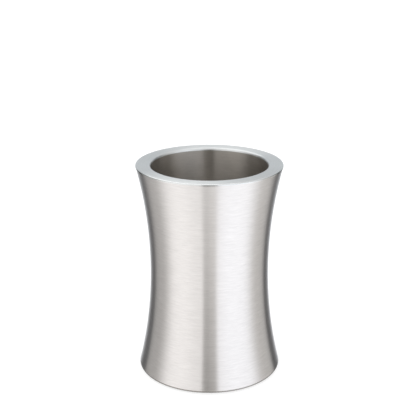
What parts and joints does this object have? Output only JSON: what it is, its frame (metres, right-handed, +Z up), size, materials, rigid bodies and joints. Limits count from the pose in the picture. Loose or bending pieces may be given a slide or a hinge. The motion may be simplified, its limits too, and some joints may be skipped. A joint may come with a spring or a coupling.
{
  "type": "wine and champagne bottle cooler",
  "caption": "Tabletop double-wall stainless steel bottle cooler with a drawn-in waist, an open well for one bottle and a flat flanged rim.",
  "frame": {"origin": "on the turning axis, at the underside of the non-slip foot ring", "axes": "+Z up along the turning axis, out of the bottle well; the piece is round, so X and Y are free"},
  "size_m": [0.136, 0.136, 0.2008],
  "materials": {
    "shell_steel": "fine horizontal brushing",
    "liner_steel": "satin, with polished bends",
    "pan_steel": "mill finish",
    "foot_rubber": "matt black",
    "plug_rubber": "matt dark grey",
    "gasket_rubber": "matt grey",
    "foam": "closed-cell foam"
  },
  "bodies": {
    "root": {"outer_shell": "shell_steel", "inner_liner": "liner_steel", "base_pan": "pan_steel", "foot_ring": "foot_rubber", "vent_plug": "plug_rubber", "rim_gasket": "gasket_rubber", "base_gasket": "gasket_rubber", "liner_pad": "foam"}
  },
  "joints": []
}
